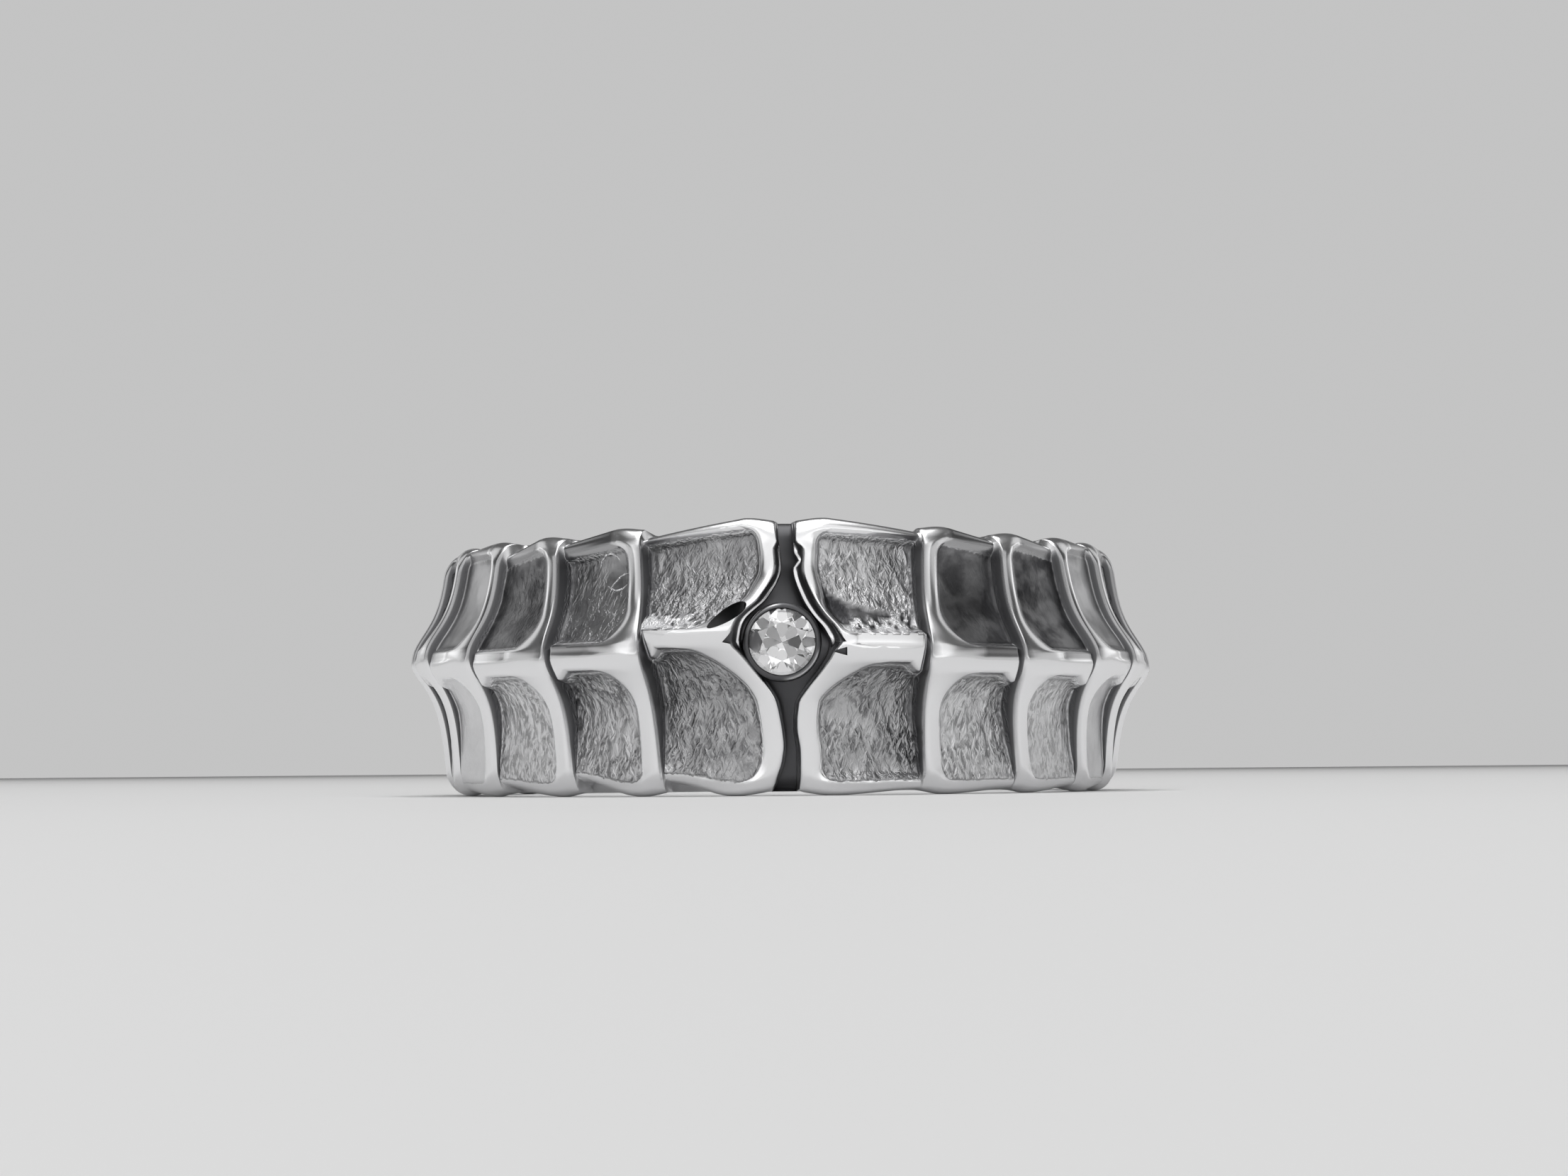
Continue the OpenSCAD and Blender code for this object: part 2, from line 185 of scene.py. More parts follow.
# The same plates' panels: (front rim above the keel, its corner there, top rim in front and at the rear,
# fall of the top, rise of the bottom, depth at the rear above the keel and below it, share of the depth
# that is left at the bottom)
panelRows = {
    left: [
        (0.38, 1.2, 0.28, 0.08, 0.45, 0.38, 0.85, 0.85, 0.15),
        (0.48, 1.1, 0.46, 0.4, 0.26, 0.42, 0.75, 0.85, 0.12),
        (0.48, 1.1, 0.4, 0.32, 0.42, 0.26, 0.4, 0.6, 0.25),
        (0.45, 1, 0.36, 0.3, 0.12, 0.12, 0.35, 0.4, 0.3),
    ],
    right: [
        (0.34, 0.35, 0.42, 0.14, 0.3, 0.14, 0.85, 0.85, 0.5),
        (0.5, 1.2, 0.4, 0.32, 0.24, 0.12, 0.6, 0.75, 0.3),
        (0.48, 1.1, 0.36, 0.32, 0.3, 0.14, 0.4, 0.6, 0.4),
        (0.45, 1, 0.36, 0.3, 0.12, 0.12, 0.35, 0.45, 0.4),
    ],
}
plainPanel = (0.45, 1, 0.36, 0.3, 0.15, 0.15, 0.4, 0.4, 0.5)

# How rough and how dark the panels are, 0 to 1
# (bark above the keel, tarnish above, bark below, tarnish below)
finishRows = {
    left: [(0.85, 0.72, 1, 0.66), (0.6, 0.74, 0.95, 0.4), (0.3, 0.92, 0.75, 0.15), (0.05, 0.7, 0.2, 0.2)],
    right: [(0.95, 0.48, 1, 0.58), (0.1, 0.94, 0.85, 0.27), (0.08, 1, 0.65, 0.2), (0.02, 0.73, 0.15, 0.4)],
}
plainFinish = (0.5, 0.7, 0.7, 0.35)

# Foot of the bay's wall, upwards: (height, x on the left, x on the right)
bayOutline = [
    (0, -0.35, 0.44), (0.3, -0.12, 0.44), (0.85, 0.08, 0.44), (1.3, 0.15, 0.44), (1.5, 0.15, 0.41),
    (1.8, 0.12, 0.36), (2.2, 0.06, 0.36), (2.7, -0.03, 0.42), (3.1, -0.26, 0.7), (3.5, -0.58, 1.03),
    (3.9, -0.9, 1.3), (4.3, -1.12, 1.4), (4.75, -1.04, 1.17), (5, -0.93, 0.95), (5.2, -0.72, 0.81),
    (5.5, -0.38, 0.64), (5.95, -0.1, 0.46), (6.25, 0.04, 0.37), (6.5, 0.07, 0.35), (6.9, 0.04, 0.38),
    (7.3, -0.02, 0.37), (7.9, -0.05, 0.35),
]

# The bay's wall from its foot (0) to the rim (1): (share across, share up below the keel, share up above
# it, darkness above it: patina and painted shade at the foot, a painted dark reflection on the bevel over
# the ledge). Above the keel it has a narrow bright ledge, up to ledgeEdge across.
bayWall = [
    (0.03, 0.06, 0.2, 1), (0.06, 0.14, 0.38, 0.9), (0.1, 0.24, 0.45, 0.1), (0.2, 0.36, 0.465, 0),
    (0.32, 0.48, 0.475, 0), (0.42, 0.56, 0.49, 0.05), (0.48, 0.67, 0.58, 1), (0.7, 0.8, 0.8, 1),
    (0.88, 0.91, 0.94, 0.8),
]
ledgeEdge = 0.42

# A plate's zones, from its front edge back, as shares of its length: edge round, rim, ramp, panel and
# rear end. Below are the columns in each, for the first plate, the next three and the others.
zoneShares = [0, 0.04, 0.25, 0.3, 0.95, 1]
firstColumns, nearColumns, farColumns = [5, 6, 5, 46, 4], [5, 7, 5, 30, 4], [4, 4, 3, 8, 3]


# Radius of the rims at a height t from the keel: the keel's, less a fall that starts round and levels off
def envelope(t):
    b = bandSettings
    far = np.where(t > 0, np.abs(t) ** 2.5, t * t)
    half = np.where(t > 0, b["halfAbove"], b["halfBelow"])
    return sizes["keelR"] - b["flankFall"] * far / (far + half) - b["flankLean"] * np.abs(t)


# How far a quarter round of radius r has fallen in, at a distance d from its start
def quarterRound(d, r):
    rest = r - np.clip(d, 0, r)
    return r - np.sqrt(r * r - rest * rest)


# A plate's row in a table that ends where the plain plates start
def rowOf(table, side, k, plain):
    return table[side][k] if k < len(table[side]) else plain


def plateRow(side, k):
    b = bandSettings
    edge = b["firstEdge"] + b["pitch"] * (k - 1)
    plain = edge + b["lean"][0], edge, edge + b["lean"][1], b["plainKeel"], b["plainRim"]
    return rowOf(plateRows, side, k, plain)


# 0 in front of the band, 1 from the sides on
def sideShare(angle):
    return smooth(np.abs(angle) / bandSettings["sideStart"])


# The rims' radius at each row: the envelope, less the rounds at the band's two faces
def rimRadius(z, low, keel, high, angle):
    edge = mix(*bandSettings["edgeRound"], sideShare(angle))
    return envelope(z - keel) - quarterRound(z - low, edge) - quarterRound(high - z, edge)


# How open a step is: it dies out towards the band's two faces
def stepShare(z, low, high):
    return smooth((z - low) / bandSettings["closing"]) * smooth((high - z) / bandSettings["closing"])


# Angle of a front edge: two straight lines with a soft bend at the keel
def edgeAngle(row, z):
    top, middle, bottom, keel, _ = row
    bend = bandSettings["keelBend"]
    t = np.sqrt((z - keel) ** 2 + bend ** 2) - bend
    above = mix(middle, top, t / (sizes["bandH"] - keel))
    below = mix(middle, bottom, t / keel)
    return np.where(z > keel, above, below)


# Angle of the bay wall's foot: the outline's straight lines, averaged over a short window, with a
# pointed notch on the right if one is asked for
def bayFoot(side, z, keel, notch=0.0):
    b = bandSettings
    heights, xLeft, xRight = np.array(bayOutline, float).T
    x = xLeft if side == left else xRight
    nearby = np.asarray(z)[..., None] + np.linspace(-b["outlineSoft"], b["outlineSoft"], 5)
    xAtZ = np.interp(nearby, heights, x).mean(-1)
    if side == right:
        middle, half = b["notchZ"]
        xAtZ = xAtZ + notch * np.clip(1 - np.abs(z - middle) / half, 0, 1)
    return side * np.degrees(np.arcsin(xAtZ / (envelope(z - keel) - b["bayDepth"])))


# Angle of a plate's front. The first one's stands back from the bay wall's foot by the wall's slant.
def frontAngle(side, k, z, keel):
    b = bandSettings
    if k == 0:
        bevel = b["bayBevel"][side] * (1 - risen(z, b["bevelSpan"]))
        slant = b["bayDraft"] + bevel * risen(z, b["ledgeSpan"][side])
        return bayFoot(side, z, keel) + slant * mmDeg
    return edgeAngle(plateRow(side, k), z)


# Positions along a chain of zones: zone number plus fraction, with the last end included
def zoneSteps(counts):
    parts = [n + np.linspace(0, 1, c, endpoint=False) for n, c in enumerate(counts)]
    return np.concatenate(parts + [[len(counts)]])


# A section's zones, from the bottom face up: edge round and rim, ramp, panel, ramp, keel rim below,
# keel rim above, ramp, panel, ramp, rim and edge round
rowCounts = [9, 4, 23, 4, 6, 6, 4, 23, 4, 8]
rows = zoneSteps(rowCounts)


# 0 to 1 for each row, between zones where it is known
def rowShares(zones, shares):
    return smooth(np.interp(rows, zones, shares))


rowPanel = rowShares([1, 2, 3, 4, 6, 7, 8, 9], [0, 1, 1, 0, 0, 1, 1, 0])
rowBark = rowShares([0.9, 1.5, 3, 4, 6, 7, 8, 9], [0, 1, 1, 0, 0, 1, 1, 0])
rowKeel = rowShares([3, 4, 6, 7], [0, 1, 1, 0])
rowTop = rowShares([8, 8.6, 9.7, 10], [0, 1, 1, 0])


# Heights of the rows: each zone runs evenly between two break points, but for closer rows in the band's
# round edges. The rims are the bottom one, the keel's below and above it, the top one.
def rowHeights(low, keel, high, *rims):
    ramp, edgeRamp = bandSettings["ramp"], bandSettings["edgeRamp"]
    low, keel, high, bottom, below, above, top = np.broadcast_arrays(low, keel, high, *rims)
    breaks = np.stack([
        low, low + bottom, low + bottom + edgeRamp, keel - below - ramp, keel - below, keel,
        keel + above, keel + above + ramp, high - top - edgeRamp, high - top, high,
    ])[..., 0]
    whole = np.minimum(rows.astype(int), len(breaks) - 2)
    f = rows - whole
    crowding = bandSettings["rowCrowding"]
    f = np.where(rows < 1, f ** crowding, f)
    f = np.where(rows > len(breaks) - 2, 1 - (1 - f) ** crowding, f)
    return (breaks[whole] * (1 - f)[:, None] + breaks[whole + 1] * f[:, None]).T


# Width of a plate's front rim. In the panel's corners quarter rounds widen it, by the distances from the
# keel rim and from the top or bottom rim.
def rimWidth(side, k, z, isAbove, fromKeel, fromEdge):
    b = bandSettings
    keel = plateRow(side, k)[3]
    rimAbove, cornerAbove = rowOf(panelRows, side, k, plainPanel)[:2]
    rimBelow = b["frontRim"]
    if k == 0:
        rimBelow = b["bayRim"]
        lowShare = mix(b["lowRim"][side], 1, risen(z, b["lowRimSpan"]))
        rimAbove = rimAbove * lowShare + b["bayBevel"][side] * risen(z, b["bevelSpan"])
    corner = np.where(z > keel, quarterRound(fromKeel, cornerAbove), quarterRound(fromKeel, b["cornerR"]))
    return mix(rimBelow, rimAbove, isAbove) + corner + quarterRound(fromEdge, b["edgeCornerR"])


# Painted shade on the rims: dark reflections painted on the front edge, the keel rim's upper half and the
# top rim. The first plate's stay bright.
def rimPaintedShade(side, k, a, rim, z, isAbove, opened):
    b = bandSettings
    keel = plateRow(side, k)[3]
    behind, over = b["stainFade"]
    behindRim = smooth((a - rim) / behind)
    edge, wide = b["edgeStain"]
    edgeStain = edge * (1 - smooth(a / wide)) * isAbove
    keelStain = b["keelStain"][side] * rowKeel * smooth((z - keel) / over) * behindRim
    topStain = b["topStain"] * rowTop * behindRim
    return np.maximum(np.maximum(edgeStain, keelStain) * opened, topStain) * (k > 0)


# A plate's surface. The columns run from its front edge to its rear, and bend round the panel's corners.
# The radius is the rims', less a depth. Both depths, of the panel and of the sinking rims, grow towards
# the rear and shrink towards the bottom.
def plateGrid(side, k, counts):
    b = bandSettings
    _, keelEdge, _, keel, above = plateRow(side, k)
    panels = rowOf(panelRows, side, k, plainPanel)
    topFront, topRear, fall, rise, rearAbove, rearBelow, depthLeft = panels[2:]
    barkAbove, tarnishAbove, barkBelow, tarnishBelow = rowOf(finishRows, side, k, plainFinish)
    cols = zoneSteps(counts)
    g = np.interp(cols, range(len(zoneShares)), zoneShares)[:, None]
    fromFront = np.interp(cols, [0, 1, 2], [0, b["soft"], 0.5])[:, None]
    ease, easeLength = b["frontEase"]
    eased = ease * (1 - smooth(fromFront / easeLength))
    turn = keelEdge + b["pitch"] * g
    behindRim = np.clip((g - zoneShares[2]) / (1 - zoneShares[2]), 0, 1)
    low = rise * smooth(behindRim) + eased
    high = sizes["bandH"] - fall * behindRim - eased - b["sideDrop"] * sideShare(turn)
    topRim = mix(topFront, topRear, g)
    bottomRim = mix(b["bottomRim"], b["bottomRear"], g)
    keelRim = b["keelRim"] + b["keelSwell"] * risen(g, b["swellSpan"])
    z = rowHeights(low, keel, high, bottomRim, keelRim, above, topRim)
    isAbove = smooth((z - keel) / b["keelFade"] + 0.5)
    front = frontAngle(side, k, z, keel)
    length = (edgeAngle(plateRow(side, k + 1), z) - front) / mmDeg
    fromKeel = np.where(z > keel, z - keel - above, keel - keelRim - z)
    fromEdge = np.where(z > keel, high - topRim - z, z - low - bottomRim)
    rim = rimWidth(side, k, z, isAbove, fromKeel, fromEdge)
    last = length - b["nub"]
    foot = np.minimum(rim + b["ramp"], last - 0.3)
    soft = mix(b["soft"], b["softAbove"], isAbove)
    breaks = np.stack([soft * 0, soft, foot - b["ramp"], foot, last, length - 0.1])
    whole = np.minimum(cols.astype(int), len(counts) - 1)
    each = np.arange(len(cols))
    f = (cols - whole)[:, None]
    a = breaks[whole, each] * (1 - f) + breaks[whole + 1, each] * f
    inColumns = smooth(cols - 2)[:, None]
    panel = inColumns * rowPanel
    nub = b["nubSink"] * (g + 2 * smooth((a - last) / b["nub"]))
    opened = stepShare(z, low, high)
    shallow, deepening = b["deepSpan"]
    lowShare = mix(depthLeft, 1, np.clip((z - shallow) / deepening, 0, 1))
    rimIn = mix(b["rimSink"] * g * lowShare * opened, nub, rowKeel)
    depth = mix(mix(*b["depth"], isAbove), mix(rearBelow, rearAbove, isAbove), g) * lowShare
    swell = b["crown"][0] if k == 0 else mix(*b["crown"], isAbove)
    crown = swell * np.minimum((2 * a / (foot - b["ramp"]) - 1) ** 2, 1) * (1 - panel)
    inset = mix(rimIn, depth, panel) + crown * opened + quarterRound(a, soft) * opened
    return {
        "angle": side * (front + a * mmDeg), "r": rimRadius(z, low, keel, high, turn) - inset, "z": z,
        "panel": inColumns * rowBark, "dark": rimPaintedShade(side, k, a, rim, z, isAbove, opened),
        "bark": mix(barkBelow, barkAbove, isAbove), "tarnish": mix(tarnishBelow, tarnishAbove, isAbove),
        "open": opened,
    }


# The bay's floor: the envelope less the bay's depth, between the feet of its two walls
def bayGrid(count):
    b = bandSettings
    f = np.linspace(0, 1, count)[:, None]
    keel = mix(plateRows[left][0][3], plateRows[right][0][3], f)
    above = mix(plateRows[left][0][4], plateRows[right][0][4], f)
    low = np.full_like(f, b["bayLift"])
    high = sizes["bandH"] - low
    z = rowHeights(low, keel, high, b["bottomRim"], b["keelRim"], above, b["bayTop"])
    angle = mix(-bayFoot(left, z, keel), bayFoot(right, z, keel, b["notch"]), f)
    # The floor is dark all over: patina and painted shade in the recess
    return {"angle": angle, "r": rimRadius(z, low, keel, high, 0) - b["bayDepth"], "z": z, "panel": 0 * z,
            "dark": 0 * z + 1, "bark": 0 * z, "tarnish": 0 * z, "open": 0 * z + 1}


# One edge of the plain bar at the back, where the two rows of plates meet
def barGrid(side):
    b = bandSettings
    row = plateRow(side, b["plates"])
    a = np.linspace(0, b["soft"], 4)[:, None]
    low = 0 * a
    high = low + sizes["bandH"] - b["sideDrop"]
    z = rowHeights(low, row[3], high, b["bottomRim"], b["keelRim"], row[4], plainPanel[2])
    opened = stepShare(z, low, high)
    r = rimRadius(z, low, row[3], high, 180) - quarterRound(a, b["soft"]) * opened
    return {"angle": side * (edgeAngle(row, z) + a * mmDeg), "r": r, "z": z, "panel": 0 * z,
            "dark": 0 * z, "bark": 0 * z, "tarnish": 0 * z, "open": opened}


# A step wall: straight from the foot's last column to the top's first, closer near both ends, and dark
# but for its upper edge: patina and painted shade in the step
def stepWall(foot, top, count):
    f = smooth(np.linspace(0, 1, count + 2)[1:-1])[:, None]
    wall = {key: mix(foot[key][-1:], top[key][:1], f) for key in foot}
    wall["panel"] = wall["panel"] * (1 - f)
    wall["dark"] = mix(1, top["dark"][:1], smooth((f - 0.8) / 0.2)) * wall["open"]
    return wall


# The wall between the bay's floor and the first plate, from its table. The ledge follows the notch in its
# foot, and the rim doesn't. Where there is no ledge, only its lowest part is dark: patina and painted shade
# at the foot.
def bayWallGrid(foot, top, side):
    across, upBelow, upAbove, dark = np.array(bayWall, float).T[:, :, None]
    wall = {key: mix(foot[key][-1:], top[key][:1], across) for key in foot}
    plainFoot = side * bayFoot(side, foot["z"][-1:], plateRows[side][0][3])
    carried = (foot["angle"][-1:] - plainFoot) * (1 - smooth((across - ledgeEdge) / 0.4))
    wall["angle"] = mix(plainFoot, top["angle"][:1], across) + carried
    hasLedge = risen(wall["z"], bandSettings["ledgeSpan"][side])
    up = mix(upBelow, upAbove, hasLedge)
    wall["r"] = mix(foot["r"][-1:], top["r"][:1], up)
    wall["dark"] = mix(1 - smooth((upBelow - 0.1) / 0.3), dark, hasLedge)
    return wall


def flipped(grid):
    return {key: value[::-1] for key, value in grid.items()}


def joined(grids):
    return {key: np.concatenate([g[key] for g in grids]) for key in grids[0]}


# One side, from the wall that rises out of the bay to the bar at the back
def sideGrid(side, bay):
    parts = [bay]
    for k in range(bandSettings["plates"]):
        plate = plateGrid(side, k, firstColumns if k == 0 else nearColumns if k < 4 else farColumns)
        wall = bayWallGrid(bay, plate, side) if k == 0 else stepWall(parts[-1], plate, 3)
        parts += [wall, plate]
    bar = barGrid(side)
    return joined(parts[1:] + [stepWall(parts[-1], bar, 3), bar])


def bandGrid():
    bay = bayGrid(20)
    return joined([flipped(sideGrid(left, flipped(bay))), bay, sideGrid(right, bay)])


# Number layers that the band's material reads. The marks add the last one.
bandLayers = "panel", "dark", "bark", "tarnish", "spark"


# Adds the two faces, the eased edges and the bore to every column, which closes its outline
def closedSection(grid):
    b = bandSettings
    boreR, ease, high = sizes["boreR"], b["boreEase"], sizes["bandH"]
    turn = np.radians(np.linspace(0, 90, 5))[None, :]
    share = np.array([[0.12, 0.5, 0.88]])

    def halfSection(r0, z0, inner, wall):
        # From the outside in: the face slopes to one height near the finger hole, then a quarter round
        # leads to the hole's straight wall
        easeZ = wall + (inner - wall) * np.cos(turn) + 0 * r0
        easeR = boreR + ease * (1 - np.sin(turn)) + 0 * r0
        faceR, faceZ = mix(r0, boreR + ease, share), mix(z0, inner, share)
        return np.concatenate([faceR, easeR], 1), np.concatenate([faceZ, easeZ], 1)

    innerTop = high - b["coreDrop"]
    topR, topZ = halfSection(grid["r"][:, -1:], grid["z"][:, -1:], innerTop, innerTop - ease)
    lowR, lowZ = halfSection(grid["r"][:, :1], grid["z"][:, :1], b["coreLift"], ease)
    middleZ = 0.5 * high + 0 * topZ[:, :1]
    closed = {
        "r": np.concatenate([grid["r"], topR, 0 * middleZ + boreR, lowR[:, ::-1]], 1),
        "z": np.concatenate([grid["z"], topZ, middleZ, lowZ[:, ::-1]], 1),
    }
    extra = closed["r"].shape[1] - grid["r"].shape[1]
    # Inside, the columns even out, so the bore has no twisted faces
    between = mix(grid["angle"][:, -1:], grid["angle"][:, :1], np.linspace(0, 1, extra)[None, :])
    closed["angle"] = np.concatenate([grid["angle"], between], 1)
    for key in bandLayers[:-1]:
        closed[key] = np.concatenate([grid[key], np.zeros((len(topR), extra))], 1)
    return closed


# Random heights on a lattice of unit cells, blended smoothly: -1 to 1
def latticeNoise(u, v, seed):
    size = 128
    table = np.random.default_rng(seed).uniform(-1, 1, (size, size))
    iu, iv = np.floor(u).astype(int), np.floor(v).astype(int)
    fu, fv = smooth(u - iu), smooth(v - iv)

    def row(v):
        return mix(table[iu % size, v % size], table[(iu + 1) % size, v % size], fu)

    return mix(row(iv), row(iv + 1), fv)


barkSettings = {
    "bend": (0.1, (0.5, 0.35)),  # how far the strokes bend, width and height of the bends
    "coarse": (0.6, 0.2, (0.15, 0.36)),  # share of the bark's height, slant, width and height of a cell
    "fine": (0.4, -0.3, (0.1, 0.24)),
}


# Bark at a length s round the keel: upright strokes, from two lattices of tall narrow cells that a broad
# one bends sideways
def barkHeight(s, z):
    bend, (wide, high) = barkSettings["bend"]
    share, slant, (coarseWide, coarseHigh) = barkSettings["coarse"]
    fineShare, fineSlant, (fineWide, fineHigh) = barkSettings["fine"]
    aside = bend * latticeNoise(s / wide, z / high, 1)
    coarse = latticeNoise((s + aside) / coarseWide, (z + slant * s) / coarseHigh, 2)
    fine = latticeNoise((s - aside) / fineWide, (z + fineSlant * s) / fineHigh, 3)
    return share * coarse + fineShare * fine


# A soft-edged box in the front view: 1 inside, 0 outside
def window(x, z, box, edge):
    x0, x1, z0, z1 = box
    inX = np.minimum(x - x0, x1 - x)
    inZ = np.minimum(z - z0, z1 - z)
    return smooth(inX / edge + 0.5) * smooth(inZ / edge + 0.5)


# Marks on the front plates, placed in the front view (x, height)
markSettings = {
    "nuggets": [  # lumps of bright metal: (x, height, radius)
        (-3.6, 4.86, 0.25), (-3.22, 5.02, 0.12), (-3.16, 4.79, 0.16), (-2.96, 4.96, 0.13),
        (-2.82, 4.77, 0.12), (-2.66, 4.98, 0.16), (-2.48, 4.8, 0.13), (2.02, 4.7, 0.15),
        (2.2, 4.88, 0.17), (2.4, 4.7, 0.14), (2.62, 4.86, 0.12), (2.82, 4.68, 0.15),
        (3, 4.86, 0.12), (3.16, 4.66, 0.13), (3.3, 4.88, 0.15), (3.5, 4.68, 0.16), (3.62, 4.9, 0.1),
    ],
    "nuggetRise": 0.65,  # their height, as a share of the radius
    "nuggetRough": 0.5,  # how uneven their outlines are
    "nuggetCell": 0.13,  # and how wide that noise's cells are
    "nuggetShade": 0.07,  # a painted shadow in their gaps reaches this far round them
    "shadeShare": 0.85,  # and is this dark
    # Upper edge of a smooth dark pocket, and the box that it ends in: x from, to, height from, to
    "pocketLine": [(0.95, 6.4), (1.35, 5.78), (1.9, 5.46), (2.6, 5.28), (3.7, 5.12)],
    "pocketBox": (0.8, 3.8, 4.4, 6.5),
    "pocketSoft": (0.12, 0.2),  # softness of that edge and of the box
    "pocketDepth": 0.07,
    "dishMiddle": (-4.68, 6.35),  # a small round dish in the second plate on the left
    "dishR": 0.42,
    "dishDepth": 0.06,
    "barkLeft": 0.08,  # bark in the pocket, the dish and between the lumps
    "roughBox": (3.0, 3.9, 0.5, 2.0),  # rougher rear corner of the first plate on the right
    "roughSoft": 0.4,
    "roughMore": 0.2,  # bark that is added there
}


# Adds the marks: a lump is half a ball with an uneven outline and a painted shadow in the gaps round it,
# and the dish is a soft-edged disc
def addMarks(grid):
    m = markSettings
    angle = np.radians(grid["angle"])
    x, z = grid["r"] * np.sin(angle), grid["z"]
    front = (np.cos(angle) > 0) * (grid["panel"] > 0.01)
    lump, shade = 0 * x, 0 * x
    uneven = 1 + m["nuggetRough"] * latticeNoise(x / m["nuggetCell"], z / m["nuggetCell"], 4)
    for atX, atZ, radius in m["nuggets"]:
        away = np.hypot(x - atX, z - atZ) / radius * uneven
        lump = np.maximum(lump, radius * np.sqrt(np.clip(1 - away ** 2, 0, 1)) * front)
        shade = np.maximum(shade, smooth(1 + (1 - away) * radius / m["nuggetShade"]) * front)
    below = np.interp(x, *np.transpose(m["pocketLine"])) - z
    lineSoft, boxSoft = m["pocketSoft"]
    pocket = smooth(below / lineSoft) * window(x, z, m["pocketBox"], boxSoft) * front
    dx, dz = x - m["dishMiddle"][0], z - m["dishMiddle"][1]
    dish = smooth(1.4 - np.hypot(dx, dz) / m["dishR"]) * front
    rougher = window(x, z, m["roughBox"], m["roughSoft"]) * front
    flat = np.maximum(np.maximum(pocket, dish), shade)
    grid["spark"] = smooth(lump / 0.1)
    grid["bark"] = mix(grid["bark"], m["barkLeft"], flat) + m["roughMore"] * rougher
    grid["tarnish"] = mix(grid["tarnish"], 1, pocket)
    # Painted shadow in the gaps between the lumps
    grid["dark"] = np.maximum(grid["dark"], m["shadeShare"] * shade * (1 - grid["spark"]))
    grid["r"] = (grid["r"] - m["pocketDepth"] * pocket - m["dishDepth"] * dish
                 + m["nuggetRise"] * lump)
    return grid


# A mesh from points in millimetres, with number layers from a value for each point. They are kept on the
# faces' corners, so that a cut through a face leaves its values as they were.
def newMesh(name, points, faces, layers, isSmooth):
    mesh = bpy.data.meshes.new(name)
    mesh.from_pydata(points.reshape(-1, 3) * mm, [], faces)
    mesh.polygons.foreach_set("use_smooth", np.full(len(faces), isSmooth))
    corners = np.zeros(len(mesh.loops), np.int32)
    mesh.loops.foreach_get("vertex_index", corners)
    for layer, values in layers.items():
        attribute = mesh.attributes.new(layer, "FLOAT", "CORNER")
        attribute.data.foreach_set("value", np.asarray(values, np.float32).reshape(-1)[corners])
    mesh.update()
    return mesh


# Four-cornered faces between each row of point numbers and the next. Each row is closed.
def loopFaces(index, nextRow):
    ahead, nextAhead = np.roll(index, -1, -1), np.roll(nextRow, -1, -1)
    return np.stack([index, nextRow, nextAhead, ahead], -1).reshape(-1, 4).tolist()


# A tube through rows of points, closed at both ends, with one number layer at 1
def tubeMesh(name, points, layer, isSmooth):
    index = np.arange(points[..., 0].size).reshape(len(points), -1)
    faces = loopFaces(index[:-1], index[1:]) + [index[0].tolist(), index[-1, ::-1].tolist()]
    return newMesh(name, points, faces, {layer: np.ones(index.size)}, isSmooth)


# Puts a mesh, a lamp or a camera into the scene
def newObject(name, data):
    piece = bpy.data.objects.new(name, data)
    bpy.context.scene.collection.objects.link(piece)
    return piece


# Turns points drawn along +Z to face out of the bay, and moves them to the stone's place
def atStone(points):
    x, y, z = np.moveaxis(points, -1, 0)
    return np.stack([x + sizes["stoneX"], -z - sizes["girdleR"], y + sizes["stoneZ"]], -1)


seatSettings = {
    "gap": 0.03,  # round the stone
    "lip": 0.04,  # how far the collar closes over the girdle
    "collarWall": 0.14,
    "collarHeight": 0.17,  # over the girdle
    "collarRound": 0.13,
    "collarTarnish": (1, 1, 0.8, 0.4, 0.8, 1),  # darkness over its rounded edge, from the outside in: patina and painted shade, lifted where a painted highlight runs
    "arcTurn": 130,  # degrees: the painted highlight on the edge lies at the upper left and the lower right
    "turns": 96,
}


# A profile of (radius, height, darkness) points carried round the stone's axis, closed at both ends. The
# darkness is patina and painted shade; it is lifted for a painted highlight only in two opposite arcs,
# where arcTurn points.
def latheMesh(name, profile, turns):
    radius, height, dark = np.array(profile, float).T
    turn = np.radians(np.arange(turns) * 360 / turns)[:, None]
    points = np.stack([radius * np.cos(turn), radius * np.sin(turn), height + 0 * turn], -1)
    index = np.arange(turns * len(profile)).reshape(turns, -1)
    ahead = np.roll(index, -1, 0)
    quads = np.stack([index[:, :-1], ahead[:, :-1], ahead[:, 1:], index[:, 1:]], -1).reshape(-1, 4)
    faces = quads.tolist() + [index[::-1, 0].tolist(), index[:, -1].tolist()]
    highlightArcs = risen(np.cos(turn - math.radians(seatSettings["arcTurn"])) ** 2, (0.55, 0.3))
    return newMesh(name, atStone(points), faces, {"dark": 1 - (1 - dark) * highlightArcs}, False)


# The collar round the stone: a tube with a rounded top, sunk in the bay's floor
def collarMesh():
    s = seatSettings
    outer, top, soft = sizes["stoneR"] + s["collarWall"], s["collarHeight"], s["collarRound"]
    curve = [(outer - soft * (1 - math.cos(t)), top - soft * (1 - math.sin(t)), dark)
             for t, dark in zip(np.radians(np.linspace(0, 90, 6)), s["collarTarnish"])]
    return latheMesh("collar", [(outer, -0.5, 1), (outer, 0, 1)] + curve + [(0.2, top, 1)], s["turns"])


